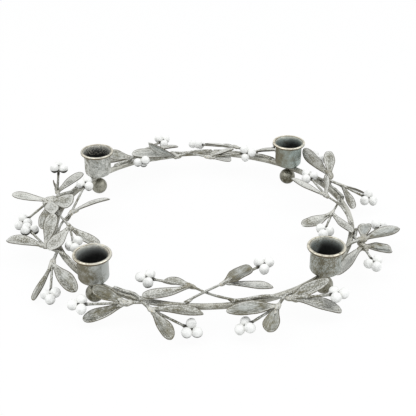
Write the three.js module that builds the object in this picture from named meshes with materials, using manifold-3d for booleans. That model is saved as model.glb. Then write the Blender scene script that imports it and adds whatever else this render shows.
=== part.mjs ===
// Advent candle holder: a rod ring on ball feet with four candle cups and mistletoe sprigs.
// Millimetres and degrees, +Z up, the origin on the table under the middle of the ring.
import * as THREE from "three";
import { mergeVertices } from "three/addons/utils/BufferGeometryUtils.js";
import Module from "manifold-3d";

const wasm = await Module();
wasm.setup();

// Ring
const RING_DIAMETER = 250;
const RING_ROD = 4.8;
const RING_STEPS = 72;
const RING_SIDES = 8;

// Gap left where two pieces are brazed or seated
const SEAT_GAP = 0.3;

// Candle cups: the bore takes a 22 mm taper candle
const CUP_BORE = 22.4;
const CUP_WALL = 0.8;
const CUP_HEIGHT = 23.4;
const CUP_FLOOR = 1.2;
const CUP_CORNER = 4;
const LIP_DIAMETER = 30;
const LIP_BEAD = 2.4;
const CUP_STEPS = 20;
const CUP_ARC_STEPS = 3;
const BORE_ARC_STEPS = 2;
const CUP_BEARINGS = { back_right: 46, back_left: 136.5, front_left: 223.5, front_right: 314 };

// Ball feet, turned with a rivet shank that is peened over inside the cup
const BALL_DIAMETER = 14.6;
const FOOT_FLAT = 4.2;
const SHANK_DIAMETER = 2.4;
const RIVET_HEAD = 6.4;
const RIVET_RISE = 1.6;
const RIVET_SHOULDER = 0.7;
const FOOT_STEPS = 14;
const FOOT_ARC_STEPS = 7;
const SHANK_HOLE_STEPS = 12;

// Sprigs
const OUTER_STEM = 2.6;
const INNER_STEM = 1.9;
const BERRY_WIRE = 2;
const STEM_SIDES = 5;
const STEM_STEPS = 5;
const SOLDER_BLOB = 4.6;
const SOLDER_STEPS = 5;
const SOLDER_BANDS = 4;
const LEAF_SHEET = 1.2;
const LEAF_STALK = 3;
const LEAF_TIP = 1.6;
const LEAF_CUPPING = 0.16;
const LEAF_WIDEST = 0.68;
const LEAF_STATIONS = [0, 0.3, 0.6, 0.86, 1];

// Berries
const BERRY_DIAMETER = 8.4;
const BERRY_SINK = 1.2;
const BERRY_STEPS = 7;
const BERRY_BANDS = 4;

// Derived sizes
const RING_RADIUS = RING_DIAMETER / 2;
const BALL_RADIUS = BALL_DIAMETER / 2;
const BALL_CENTRE = Math.sqrt(BALL_RADIUS ** 2 - (FOOT_FLAT / 2) ** 2);
const RING_HEIGHT = BALL_CENTRE + BALL_RADIUS + SEAT_GAP + RING_ROD / 2;
const TABLE_UP = -RING_HEIGHT;
const CUP_BASE = RING_HEIGHT + RING_ROD / 2 + SEAT_GAP;
const CUP_REACH = CUP_BORE / 2 + CUP_WALL;
const LIP_REACH = LIP_DIAMETER / 2;
const SHANK_HOLE = SHANK_DIAMETER / 2 + SEAT_GAP;

// Berries sit in a triangle in line with their wire, which stops a gap short of the nearer two, or as a
// crown square to it, where the wire stops under all three
const BERRY_RADIUS = BERRY_DIAMETER / 2;
const BERRY_REACH = (BERRY_DIAMETER - BERRY_SINK) / Math.sqrt(3);
const BERRY_ASIDE = (BERRY_DIAMETER - BERRY_SINK - BERRY_WIRE) / 2;
const WIRE_STOP = BERRY_REACH / 2 + Math.sqrt((BERRY_RADIUS + SEAT_GAP) ** 2 - BERRY_ASIDE ** 2);
const CROWN_ASIDE = BERRY_REACH - BERRY_WIRE / 2;
const CROWN_STOP = Math.sqrt((BERRY_RADIUS + SEAT_GAP) ** 2 - CROWN_ASIDE ** 2);

// How a stem leaves the ring. Outer stems that point at a cup lie against the outside of the ring,
// those that point away from it lie on top and cross over the first, and the inner stems start on top
// and cross each other inside the ring.
const OUTER_LAY = (RING_ROD + OUTER_STEM) / 2 + SEAT_GAP;
const INNER_LAY = (RING_ROD + INNER_STEM) / 2 + SEAT_GAP;
const SIDE_LAY_ANGLE = 20;
const SIDE_LAY_OUT = OUTER_LAY * Math.cos(THREE.MathUtils.degToRad(SIDE_LAY_ANGLE));
const SIDE_LAY_UP = OUTER_LAY * Math.sin(THREE.MathUtils.degToRad(SIDE_LAY_ANGLE));
const CROSSING_SPARE = 0.6;
const OUTER_CROSSING_UP = SIDE_LAY_UP + OUTER_STEM + CROSSING_SPARE;
const INNER_CROSSING_UP = INNER_LAY + INNER_STEM + CROSSING_SPARE;

// Shares of its way round at which an outer stem is held against the ring, and where it crosses
const SIDE_HOLDS = [0, 0.22, 0.44, 0.66];
const TOP_HOLDS = [0, 0.25, 0.5];
const CROSSING_SHARE = 0.75;

// The sprigs as bent by hand, counter-clockwise on each side of the ring. A place is its bearing from
// the +X axis, its distance outside the ring's centreline and its height above that centreline.
// Berries are the place of their middle and the tilt of their triangle, and a row marked crown has them
// square to their wire. A leaf is the place of its tip, its width, its roll (how far its face leans to
// the right of its run) and its arch (how far its middle is bowed towards its face, as a share of its
// length).
const SPRIGS = {
  front: [
    { lay: "side", tail: 257, node: [240, 8, 0], berries: [228, CUP_REACH + 15, -1, -30],
      leaves: [[227.5, CUP_REACH - 2, 4, 9.5, -64, -0.04], [230, 29, TABLE_UP + 5.5, 10.5, -27, -0.06]] },
    { lay: "top", tail: 233, node: [249.5, 14, 4], berries: [262, 18.5, -7, 30],
      leaves: [[257, 31, -7.5, 11.5, -2, 0.03], [265.5, 10, 0.5, 11.5, 4, 0.03]] },
    { lay: "under", tail: 277, node: [260.3, -19.3, 4.5], berries: [242, -16.5, 8, -20],
      leaves: [[247, -25.5, 0.5, 11, -9, 0.06], [245.5, 6.5, 8, 11.5, -4, -0.05]] },
    { lay: "over", tail: 259, node: [274, -22, 5], berries: [294, -28, 10.5, 20],
      leaves: [[287.5, -27.5, 11, 12.5, 11, 0], [292.5, -9, 1.5, 10.5, -3, -0.01]] },
    { lay: "top", tail: 305, node: [288, 16, 4], berries: [277.5, 18.5, -6.5, 0],
      leaves: [[282.5, 31.5, -4.5, 12, -11, -0.02], [272.5, 9, 1.5, 12.5, -19, 0]] },
    { lay: "side", tail: 278, node: [294.5, 7, 0], berries: [307, CUP_REACH + 14, 2.5, 0],
      leaves: [[310, CUP_REACH + 2.5, 2.5, 11.5, 12, 0.03], [306, 33, -9, 13, 10, 0.05]] },
  ],
  right: [
    { lay: "side", tail: 347, node: [338, 11, -1.2], berries: [330, 25, -2.5, 20],
      leaves: [[322.5, 1, TABLE_UP + 6, 12, 6, 0.01], [342.5, 34, TABLE_UP + 8, 11, 12, -0.02]] },
    { lay: "top", tail: 326, node: [339.5, 10, 3], berries: [351, 24, -1, 30],
      leaves: [[349.5, 11.5, 3.5, 11.5, -10, -0.03], [349.6, 39.5, 1, 14, -1, -0.03]] },
    { lay: "under", tail: 11, node: [358, -15, 3], berries: [342, -22, 2.5, -10],
      leaves: [[346, -41, 1.5, 13, -7, -0.07], [340.5, 0.5, 6.5, 11, -11, -0.03]] },
    { lay: "over", tail: 349.5, node: [12, -12.5, 5], berries: [28, -12, 9, -10],
      leaves: [[30.5, -28.5, 9.5, 11, 12, -0.04], [23.5, 1, 10.5, 8.5, 52, -0.04]] },
    { lay: "top", tail: 36, node: [18, 10, 4], berries: [11, 28, -3.5, 20],
      leaves: [[5.2, 6.8, -3, 11, -26, 0.02], [15, 31, -5.5, 8.5, -22, 0.02]] },
    { lay: "side", tail: 11.5, node: [27.8, 13, 4.5], berries: [39, 22.5, 7, 30],
      leaves: [[42.5, LIP_REACH - 1.5, 17, 12, 0, -0.02], [36, 30, 14, 10.5, -5, -0.02]] },
  ],
  back: [
    { lay: "side", tail: 81, node: [65.5, 8, 0], berries: [56, CUP_REACH + 14, 4, 30],
      leaves: [[55, CUP_REACH + 1.5, 5.5, 11, -11, 0.03], [54.5, 10, -2.5, 11.5, -7, 0.02]] },
    { lay: "top", tail: 55, node: [72, 9, 4], berries: [88, 17.5, 1, 30],
      leaves: [[79, 31.5, -6, 11.5, 8, -0.05], [85, 16, 2, 11, 20, -0.02]] },
    { lay: "under", tail: 100, node: [83, -14, 3], berries: [64.5, -9, 8.5, 70],
      leaves: [[71.5, -15.5, 1.5, 11.5, 5, 0.01], [71.5, -4, 8.5, 10, -12, -0.02]] },
    { lay: "over", tail: 82, node: [98, -14, 5], berries: [116.5, -13.5, 6, 45],
      leaves: [[111.5, -7, 21, 11.5, 57, -0.04], [119, -2.5, 10.5, 12, -19, 0.02]] },
    { lay: "top", tail: 127, node: [112, 9, 4], berries: [101, 25, 4, 30],
      leaves: [[103.5, 33.5, -4.5, 12, -31, -0.01], [96, 9.5, 3.5, 10, -11, 0]] },
    { lay: "side", tail: 101, node: [116, 9, 0], berries: [126, CUP_REACH + 15, 3, 30],
      leaves: [[125.5, CUP_REACH + 4, 7, 12, -31, -0.01], [123.5, 34, TABLE_UP + 6.5, 12, 4, -0.02]] },
  ],
  left: [
    { lay: "side", tail: 175, node: [156.5, 13, 0], berries: [155, 11.4, 25, 55], crown: true,
      leaves: [[144.5, 2.5, OUTER_LAY + 6, 9.5, 10, 0.01], [152, 22.6, 4, 10, 65, -0.02]] },
    { lay: "top", tail: 146, node: [164.5, 12, 3.5], berries: [171.5, 31.5, TABLE_UP + 8, -10],
      leaves: [[164, 47, 5.5, 8.5, -20, -0.02], [174.9, 12.6, TABLE_UP + 6.5, 12.5, 14, -0.04],
        [167.5, -10.5, 10.5, 13, 32, -0.01], [175.5, 2.6, OUTER_LAY + 3.5, 10, 0, 0.02]] },
    { lay: "under", tail: 191, node: [171.5, -11, 2], berries: [153.5, -12.5, 12, 10],
      leaves: [[155.5, -37.5, 3, 10, -15, 0.03], [175.5, -9, -1.5, 9.5, 41, -0.01]] },
    { lay: "over", tail: 173, node: [185.5, -12, 5], berries: [199, -11, 3.5, 30],
      leaves: [[200.5, -31, -1, 11.5, -2, -0.05], [202, 11.5, 8.5, 11.5, -20, -0.03]] },
    { lay: "top", tail: 214, node: [196, 11, 3.5], berries: [182, 22, 0.5, 10],
      leaves: [[185.5, 39.5, -2, 12.5, -6, 0.01], [179.2, 1.5, 10.5, 11.5, 3, -0.04]] },
    { lay: "side", tail: 192, node: [203, 10.5, -3], berries: [216, 28.5, -7.5, 10],
      leaves: [[212.5, 38, TABLE_UP + 3.5, 11, 37, -0.02], [217.5, 8, TABLE_UP + 5, 12.5, 19, -0.01]] },
  ],
};

// Finishes
const zinc = new THREE.MeshStandardMaterial({ color: 0xa3a59c, roughness: 0.55, metalness: 0.85 });
const darkZinc = new THREE.MeshStandardMaterial({ color: 0x85857a, roughness: 0.5, metalness: 0.85 });
const frostedZinc = new THREE.MeshStandardMaterial({ color: 0xb4b6ae, roughness: 0.6, metalness: 0.8 });
const white = new THREE.MeshStandardMaterial({ color: 0xf2f2ee, roughness: 0.45, metalness: 0 });

const holder = new THREE.Group();
const UP = new THREE.Vector3(0, 0, 1);

function addNode(name, geometry, material) {
  const mesh = new THREE.Mesh(geometry, material);
  mesh.name = name;
  holder.add(mesh);
}

// A bearing, distance outside the ring's centreline and height above it as a point
function place([bearing, out, up]) {
  const angle = THREE.MathUtils.degToRad(bearing);
  const reach = RING_RADIUS + out;
  return new THREE.Vector3(reach * Math.cos(angle), reach * Math.sin(angle), RING_HEIGHT + up);
}

// The shorter way round from one bearing to another
function turn(from, to) {
  return ((to - from + 540) % 360) - 180;
}

function toSolid(geometry) {
  geometry.deleteAttribute("normal");
  geometry.deleteAttribute("uv");
  const welded = mergeVertices(geometry);
  return new wasm.Manifold(new wasm.Mesh({
    numProp: 3,
    vertProperties: new Float32Array(welded.attributes.position.array),
    triVerts: new Uint32Array(welded.index.array),
  }));
}

function toGeometry(solid) {
  const mesh = solid.getMesh();
  const geometry = new THREE.BufferGeometry();
  geometry.setAttribute("position", new THREE.BufferAttribute(mesh.vertProperties, 3));
  geometry.setIndex(new THREE.BufferAttribute(mesh.triVerts, 1));
  geometry.computeVertexNormals();
  return geometry;
}

function join(geometries) {
  return geometries.map(toSolid).reduce((whole, piece) => whole.add(piece));
}

// Points of an arc in a lathe profile, its ends included
function arc(centreR, centreZ, radius, fromDegrees, toDegrees, steps) {
  const points = [];
  for (let i = 0; i <= steps; i += 1) {
    const angle = THREE.MathUtils.degToRad(fromDegrees + ((toDegrees - fromDegrees) * i) / steps);
    const r = centreR + radius * Math.cos(angle);
    const z = centreZ + radius * Math.sin(angle);
    points.push(new THREE.Vector2(r, z));
  }
  return points;
}

function lathe(profile, steps) {
  return new THREE.LatheGeometry(profile, steps).rotateX(Math.PI / 2);
}

// A round wire through the given points
function wire(points, diameter, steps) {
  const section = new THREE.Shape();
  for (let i = 0; i < STEM_SIDES; i += 1) {
    const angle = (2 * Math.PI * i) / STEM_SIDES;
    const x = (diameter / 2) * Math.cos(angle);
    const y = (diameter / 2) * Math.sin(angle);
    if (i === 0) section.moveTo(x, y);
    else section.lineTo(x, y);
  }
  const extrudePath = new THREE.CatmullRomCurve3(points);
  return new THREE.ExtrudeGeometry(section, { steps, extrudePath, bevelEnabled: false });
}

// A closed skin over rings of points with equal counts
function loft(rings) {
  const count = rings[0].length;
  const last = (rings.length - 1) * count;
  const index = [];
  for (let ring = 0; ring < rings.length - 1; ring += 1) {
    for (let i = 0; i < count; i += 1) {
      const a = ring * count + i;
      const b = ring * count + ((i + 1) % count);
      index.push(a, b, a + count, b, b + count, a + count);
    }
  }
  for (let i = 1; i < count - 1; i += 1) {
    index.push(0, i + 1, i, last, last + i, last + i + 1);
  }
  const geometry = new THREE.BufferGeometry().setFromPoints(rings.flat());
  geometry.setIndex(index);
  return geometry;
}

// Half the width of a spatulate leaf: a stalk that swells to the widest place, then a round tip
function leafHalfWidth(share, width) {
  if (share < LEAF_WIDEST) {
    const swell = THREE.MathUtils.smoothstep(share, 0, LEAF_WIDEST);
    return THREE.MathUtils.lerp(LEAF_STALK, width, swell) / 2;
  }
  const past = (share - LEAF_WIDEST) / (1 - LEAF_WIDEST);
  return Math.max(LEAF_TIP, width * Math.sqrt(1 - past * past)) / 2;
}

// A leaf of sheet metal with its edges raised, from its node to its tip
function leaf(from, [bearing, out, up, width, roll, arch]) {
  const run = place([bearing, out, up]).sub(from);
  const along = run.clone().normalize();
  const right = along.clone().cross(UP).normalize();
  right.applyAxisAngle(along, THREE.MathUtils.degToRad(roll));
  const face = right.clone().cross(along);
  const rings = LEAF_STATIONS.map((share) => {
    const half = leafHalfWidth(share, width);
    const middle = from.clone().addScaledVector(run, share);
    middle.addScaledVector(face, arch * run.length() * 4 * share * (1 - share));
    const section = (across, height) => {
      const point = middle.clone().addScaledVector(right, across);
      return point.addScaledVector(face, height);
    };
    const edge = LEAF_CUPPING * half * 2;
    return [
      section(0, LEAF_SHEET / 2),
      section(half, edge + LEAF_SHEET / 2),
      section(half, edge - LEAF_SHEET / 2),
      section(0, -LEAF_SHEET / 2),
      section(-half, edge - LEAF_SHEET / 2),
      section(-half, edge + LEAF_SHEET / 2),
    ];
  });
  return loft(rings);
}

// The stem from its cut end on the ring to the node where its leaves meet
function stem({ lay, tail, node }) {
  const way = turn(tail, node[0]);
  if (lay === "side") {
    const along = SIDE_HOLDS.map((share) => place([tail + way * share, SIDE_LAY_OUT, SIDE_LAY_UP]));
    return wire([...along, place(node)], OUTER_STEM, STEM_STEPS);
  }
  if (lay === "top") {
    const along = TOP_HOLDS.map((share) => place([tail + way * share, 0, OUTER_LAY]));
    const crest = place([tail + way * CROSSING_SHARE, node[1] / 2, OUTER_CROSSING_UP]);
    return wire([...along, crest, place(node)], OUTER_STEM, STEM_STEPS);
  }
  const up = lay === "over" ? INNER_CROSSING_UP : INNER_LAY;
  const middle = place([tail + way / 2, node[1] / 2, up]);
  return wire([place([tail, 0, INNER_LAY]), middle, place(node)], INNER_STEM, STEM_STEPS);
}

// A cluster of three berries at the end of its wire
function berries({ node, berries: [bearing, out, up, tilt], crown }) {
  const middle = place([bearing, out, up]);
  const along = middle.clone().sub(place(node)).normalize();
  const level = along.clone().cross(UP).normalize();
  level.applyAxisAngle(along, THREE.MathUtils.degToRad(tilt));
  const lengthwise = crown ? along.clone().cross(level) : along;
  const beads = [0, 120, 240].map((degrees) => {
    const angle = THREE.MathUtils.degToRad(degrees);
    const centre = middle.clone().addScaledVector(lengthwise, BERRY_REACH * Math.cos(angle));
    centre.addScaledVector(level, BERRY_REACH * Math.sin(angle));
    const bead = new THREE.SphereGeometry(BERRY_RADIUS, BERRY_STEPS, BERRY_BANDS);
    return bead.translate(centre.x, centre.y, centre.z);
  });
  return toGeometry(join(beads));
}

// A stem, the solder at its node, its leaves and the wire that carries its berries
function sprig(row) {
  const node = place(row.node);
  const wireEnd = place(row.berries);
  const stop = row.crown ? CROWN_STOP : WIRE_STOP;
  wireEnd.addScaledVector(wireEnd.clone().sub(node).normalize(), -stop);
  const solder = new THREE.SphereGeometry(SOLDER_BLOB / 2, SOLDER_STEPS, SOLDER_BANDS);
  const pieces = [
    stem(row),
    solder.translate(node.x, node.y, node.z),
    wire([node, wireEnd], BERRY_WIRE, 1),
    ...row.leaves.map((tip) => leaf(node, tip)),
  ];
  return toGeometry(join(pieces));
}

function cup() {
  const reach = CUP_REACH;
  const bore = CUP_BORE / 2;
  const bead = LIP_BEAD / 2;
  const inner = CUP_CORNER - CUP_WALL;
  const top = CUP_HEIGHT;
  const profile = [
    new THREE.Vector2(SHANK_HOLE, 0),
    ...arc(reach - CUP_CORNER, CUP_CORNER, CUP_CORNER, -90, 0, CUP_ARC_STEPS),
    new THREE.Vector2(reach, top - LIP_BEAD),
    ...arc(LIP_REACH - bead, top - bead, bead, -90, 90, CUP_ARC_STEPS),
    ...arc(bore + LIP_BEAD, top - LIP_BEAD, LIP_BEAD, 90, 180, BORE_ARC_STEPS),
    ...arc(bore - inner, CUP_FLOOR + inner, inner, 0, -90, BORE_ARC_STEPS),
    new THREE.Vector2(SHANK_HOLE, CUP_FLOOR),
    new THREE.Vector2(SHANK_HOLE, 0),
  ];
  return lathe(profile, CUP_STEPS);
}

function ballFoot() {
  const shank = SHANK_DIAMETER / 2;
  const head = RIVET_HEAD / 2;
  const flat = THREE.MathUtils.radToDeg(Math.acos(FOOT_FLAT / BALL_DIAMETER));
  const neck = THREE.MathUtils.radToDeg(Math.acos(shank / BALL_RADIUS));
  const headBase = CUP_BASE + CUP_FLOOR + SEAT_GAP;
  const profile = [
    new THREE.Vector2(0, 0),
    ...arc(0, BALL_CENTRE, BALL_RADIUS, -flat, neck, FOOT_ARC_STEPS),
    new THREE.Vector2(shank, headBase),
    new THREE.Vector2(head, headBase),
    new THREE.Vector2(head * RIVET_SHOULDER, headBase + RIVET_RISE * RIVET_SHOULDER),
    new THREE.Vector2(0, headBase + RIVET_RISE),
  ];
  return lathe(profile, FOOT_STEPS);
}

function ring() {
  const torus = new THREE.TorusGeometry(RING_RADIUS, RING_ROD / 2, RING_SIDES, RING_STEPS);
  let solid = toSolid(torus.translate(0, 0, RING_HEIGHT));
  for (const bearing of Object.values(CUP_BEARINGS)) {
    const at = place([bearing, 0, 0]);
    const hole = new THREE.CylinderGeometry(SHANK_HOLE, SHANK_HOLE, 2 * RING_ROD, SHANK_HOLE_STEPS);
    hole.rotateX(Math.PI / 2).translate(at.x, at.y, at.z);
    solid = solid.subtract(toSolid(hole));
  }
  return toGeometry(solid);
}

addNode("ring", ring(), zinc);
for (const [corner, bearing] of Object.entries(CUP_BEARINGS)) {
  const at = place([bearing, 0, 0]);
  addNode(`cup_${corner}`, cup().translate(at.x, at.y, CUP_BASE), zinc);
  addNode(`ball_foot_${corner}`, ballFoot().translate(at.x, at.y, 0), darkZinc);
}
for (const [side, rows] of Object.entries(SPRIGS)) {
  rows.forEach((row, i) => {
    addNode(`sprig_${side}_${i + 1}`, sprig(row), frostedZinc);
    addNode(`berries_${side}_${i + 1}`, berries(row), white);
  });
}

export default holder;
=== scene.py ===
import bmesh
import bpy
import numpy as np
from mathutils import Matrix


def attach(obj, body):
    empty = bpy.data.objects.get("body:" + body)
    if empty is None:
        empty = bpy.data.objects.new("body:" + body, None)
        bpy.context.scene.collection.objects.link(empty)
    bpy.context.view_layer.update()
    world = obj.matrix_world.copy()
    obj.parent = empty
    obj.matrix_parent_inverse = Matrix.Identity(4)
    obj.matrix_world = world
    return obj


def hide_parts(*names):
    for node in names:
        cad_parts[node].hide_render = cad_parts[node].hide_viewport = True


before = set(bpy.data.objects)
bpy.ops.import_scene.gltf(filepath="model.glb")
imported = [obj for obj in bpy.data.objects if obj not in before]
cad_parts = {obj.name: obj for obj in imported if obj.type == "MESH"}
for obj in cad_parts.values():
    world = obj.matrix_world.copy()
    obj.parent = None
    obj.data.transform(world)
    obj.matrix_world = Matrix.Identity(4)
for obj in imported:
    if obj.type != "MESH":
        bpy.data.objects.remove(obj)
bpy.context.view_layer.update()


# Ring: a steel rod bent into a circle and butt-welded, zinc plated, darkened and rubbed back by hand.
# It stands on the ball feet, carries the cups, and has every sprig brazed to it.
RING_RADIUS = 0.125
RING_HEIGHT = 0.01699
ROD_RADIUS = 0.0024
# In degrees, the bearing of the weld, and how much paler or darker the rod is made at bearings round the ring
ROD_WELD = 46
ROD_PALE = {
    0: 1.0, 6: 0.1, 20: 0.15, 40: -0.15, 55: 0.2, 61: 0.7, 90: 0.2, 125: 0.4, 150: 0.35, 165: 0,
    240: 0.15, 261: 0, 271: 0.15, 282: -0.25, 292: 0.1, 306: 0.15, 335: -0.12, 350: 0.25, 360: 1.0,
}
ROD_OLIVE = (0.153, 0.142, 0.099, 1)
ROD_GREY = (0.315, 0.315, 0.279, 1)
# The pale of rubbed zinc, also used for the painted highlight on the rod's top
ROD_RUBBED_AND_LIT = (0.576, 0.572, 0.517, 1)


class Finish:
    """A socket in a material's nodes. Sums on it add Math nodes, and node() adds any other node."""

    def __init__(self, tree, socket=None):
        self.tree = tree
        self.socket = socket

    def node(self, kind, settings, inputs, output=0):
        """A node of a type: its settings are set first, then its sockets get their values or links."""
        made = self.tree.nodes.new("ShaderNode" + kind)
        for key, value in settings.items():
            setattr(made, key, value)
        for key, value in inputs.items():
            if isinstance(value, Finish):
                self.tree.links.new(value.socket, made.inputs[key])
            else:
                made.inputs[key].default_value = value
        return Finish(self.tree, made.outputs[output] if made.outputs else None)

    def math(self, operation, a, b, clamp=False):
        return self.node("Math", {"operation": operation, "use_clamp": clamp}, {0: a, 1: b})

    def __add__(self, other):
        return self.math("ADD", self, other)

    def __sub__(self, other):
        return self.math("SUBTRACT", self, other)

    def __mul__(self, other):
        return self.math("MULTIPLY", self, other)

    def __rsub__(self, other):
        return self.math("SUBTRACT", other, self)

    __radd__ = __add__
    __rmul__ = __mul__

    def clip(self):
        """This value held between 0 and 1."""
        return self.math("ADD", self, 0.0, clamp=True)

    def blend(self, low, high):
        """The colour low where this mask is 0 and high where it is 1."""
        return self.node("Mix", {"data_type": "RGBA"}, {0: self, 6: low, 7: high}, 2)

    def mark(self, name):
        """A value that skin() gave to every point of the piece."""
        return self.node("Attribute", {"attribute_name": name}, {}, "Fac")

    def noise(self, where, scale, detail=2.0):
        """Noise about 0, mostly within a quarter of it."""
        return self.node("TexNoise", {}, {"Vector": where, "Scale": scale, "Detail": detail}) - 0.5

    def drawn(self, stretch):
        """The piece's own run of points, stretched along it, for streaks that follow the piece."""
        way = self.node("Attribute", {"attribute_name": "way"}, {}, "Vector")
        return self.node("VectorMath", {"operation": "MULTIPLY"}, {0: way, 1: (stretch, 1, 1)})

    def facing_up(self):
        """How far the surface faces up: the height of its normal."""
        normal = self.node("NewGeometry", {}, {}, "Normal")
        return self.node("SeparateXYZ", {}, {0: normal}, "Z")


def bare_material(name):
    """An empty material, with its object coordinates."""
    material = bpy.data.materials.new(name)
    material.use_nodes = True
    material.node_tree.nodes.clear()
    return material, Finish(material.node_tree).node("TexCoord", {}, {}, "Object")


def skin(name, grids, material, marks=None, way=None, meet=2e-6, crease=0.9):
    """A piece over grids of points, each rows by columns by xyz. Neighbours in a grid make quads, and points
    that meet at a seam or a pole are welded. Marks are values for every point, and way is where each point
    lies along and across its part. Edges that bend by more than crease, in radians, stay sharp."""
    quads = []
    start = 0
    for grid in grids:
        index = start + np.arange(grid.shape[0] * grid.shape[1]).reshape(grid.shape[:2])
        corners = (index[:-1, :-1], index[:-1, 1:], index[1:, 1:], index[1:, :-1])
        quads.append(np.stack(corners, -1).reshape(-1, 4))
        start += index.size
    mesh = bpy.data.meshes.new(name)
    mesh.from_pydata(np.concatenate([grid.reshape(-1, 3) for grid in grids]), [], np.concatenate(quads))
    for mark, values in (marks or {}).items():
        flat = np.concatenate([value.ravel() for value in values])
        mesh.attributes.new(mark, "FLOAT", "POINT").data.foreach_set("value", flat)
    if way:
        flat = np.concatenate([run.ravel() for run in way])
        mesh.attributes.new("way", "FLOAT_VECTOR", "POINT").data.foreach_set("vector", flat)
    welded = bmesh.new()
    welded.from_mesh(mesh)
    bmesh.ops.remove_doubles(welded, verts=welded.verts, dist=meet)
    bmesh.ops.recalc_face_normals(welded, faces=welded.faces)
    welded.to_mesh(mesh)
    welded.free()
    mesh.shade_smooth()
    mesh.set_sharp_from_angle(angle=crease)
    mesh.materials.append(material)
    piece = bpy.data.objects.new(name, mesh)
    bpy.context.scene.collection.objects.link(piece)
    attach(piece, "root")
    return piece


def ring_surface(rows=480, columns=20):
    """A circle of rod: at bearing a and section angle v, the rod's radius is carried round the ring and
    varies by a few hundredths of a millimetre as a hand-rubbed rod does. The way is the length round from
    the weld, and the place in the rod's section. Pale is how much paler or darker the rod is made at each
    bearing."""
    a = np.radians(ROD_WELD) + np.linspace(0, 2 * np.pi, rows)[:, None]
    v = np.linspace(0, 2 * np.pi, columns)[None, :]
    rod = ROD_RADIUS * (1 + 0.018 * np.sin(17 * a + 2 * v) + 0.014 * np.sin(41 * a - v))
    reach = RING_RADIUS + rod * np.cos(v)
    grid = np.stack([reach * np.cos(a), reach * np.sin(a), RING_HEIGHT + rod * np.sin(v)], -1)
    way = np.stack([RING_RADIUS * a + 0 * v, rod * np.cos(v), rod * np.sin(v)], -1)
    pale = np.interp(np.degrees(a) % 360, list(ROD_PALE), list(ROD_PALE.values())) + 0 * v
    return grid, way, pale


def rod_zinc():
    """Grey zinc with olive clouds and lengthwise streaks, rubbed pale in grains, with a painted highlight
    where it faces up.
    """
    material, where = bare_material("rod_zinc")
    streaks = where.noise(where.drawn(0.16), 1500, 3)
    clouds = where.noise(where, 60, 4)
    grit = where.noise(where, 1500, 3)
    tone = (clouds * 3.2 + streaks * 1.6 + grit * 0.8 + 0.55).clip()
    # Painted highlight: paler where the rod faces up, besides its rubbed grains and its paleness by bearing
    wear_and_light = where.facing_up() * 0.5 + streaks * 1.5 + grit * 2.4 + clouds * 2 + where.mark("pale")
    rubbed_and_lit = ((wear_and_light - 0.1) * 1.2).clip()
    bump = where.node("Bump", {}, {"Strength": 0.5, "Distance": 0.0004, "Height": grit + streaks})
    shader = where.node("BsdfPrincipled", {}, {
        "Base Color": rubbed_and_lit.blend(tone.blend(ROD_OLIVE, ROD_GREY), ROD_RUBBED_AND_LIT),
        "Metallic": 0.9 - rubbed_and_lit * 0.4,
        "Roughness": 0.4 + rubbed_and_lit * 0.2,
        "Normal": bump,
    })
    where.node("OutputMaterial", {}, {"Surface": shader})
    return material


ring_grid, ring_way, ring_pale = ring_surface()
ring = skin("rod_ring", [ring_grid], rod_zinc(), {"pale": [ring_pale]}, [ring_way])
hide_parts("ring")


# Candle cups: deep-drawn sheet steel, flared at the mouth and rolled outwards to a bead, riveted on the ring.
# The zinc is cloudy and painted silvery on its lit side and olive on its shaded side, the bead is rubbed to a
# brassy edge with a painted shadow under it, and the bore is painted dark as painted shade below a painted
# reflection.

# Each row is a cup's bearing and its finish: how silvery it is, how far painted light and shade swing it
# paler and darker round its wall and the bearing of its painted lit side, how far down the bore a painted
# reflection keeps it light and on which side, how grainy, frosted in swirls, flecked in the bore and greenish
# it is, how far its lip is rubbed, and how far a painted highlight goes on into the flare on the right.
CUPS = {
    "back_right": dict(bearing=46, silver=0.3, painted_light_swing=0.78, painted_lit_side=333, painted_bore_light=0.4, painted_bore_light_side=150,
                       grain=0.4, frosted=0, flecked=0.4, green=1, lip=1.05, flare=0),
    "back_left": dict(bearing=136.5, silver=0.5, painted_light_swing=0.4, painted_lit_side=304, painted_bore_light=0, painted_bore_light_side=150,
                      grain=1.2, frosted=0.95, flecked=1.4, green=0, lip=0.8, flare=0),
    "front_left": dict(bearing=223.5, silver=0.8, painted_light_swing=1.1, painted_lit_side=25, painted_bore_light=0.15, painted_bore_light_side=150,
                       grain=0.8, frosted=0.15, flecked=0.15, green=0, lip=0.85, flare=1.6),
    "front_right": dict(bearing=314, silver=0.72, painted_light_swing=0.62, painted_lit_side=62, painted_bore_light=1.4, painted_bore_light_side=178,
                        grain=2.2, frosted=0.25, flecked=0.3, green=0.5, lip=0.95, flare=0),
}
CUP_BASE = 0.01969
CUP_OUTSIDE = 0.012
CUP_BORE = 0.0112
CUP_HEIGHT = 0.0234
CUP_FLOOR = 0.0012
CUP_CORNER = 0.004
CUP_COLUMNS = 97
LIP_RADIUS = 0.015
LIP_BEAD = 0.0012
LIP_FILLET = 0.0007
# Heights above the cup's base between which its wall is straight
WALL_FROM = 0.005
WALL_TO = 0.02
# Depths below the cup's top, and the dip behind the bead as places in from the lip and down from the top
FILLET_DEPTH = 0.0031
LIP_DIP = ((0.00195, 0.0004), (0.00225, 0.00052))
FLARE_FROM = 0.0007
FLARE_TO = 0.0057
FLARE_WIDTH = 0.0012
BORE_FROM = 0.0065
CUP_OLIVE = (0.176, 0.162, 0.113, 1)
CUP_SILVER = (0.405, 0.427, 0.41, 1)
CUP_GREEN = (0.369, 0.432, 0.41, 1)
CUP_FROST = (0.666, 0.666, 0.621, 1)
# The colour of the painted shade deep in the bore
CUP_PAINTED_SHADE = (0.027, 0.0279, 0.027, 1)
LIP_CREAM = (0.774, 0.729, 0.612, 1)
# Brown for spots, for brown patina in the lip's dip, and for the painted shadow under the bead
LIP_BROWN = (0.126, 0.09, 0.045, 1)


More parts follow.
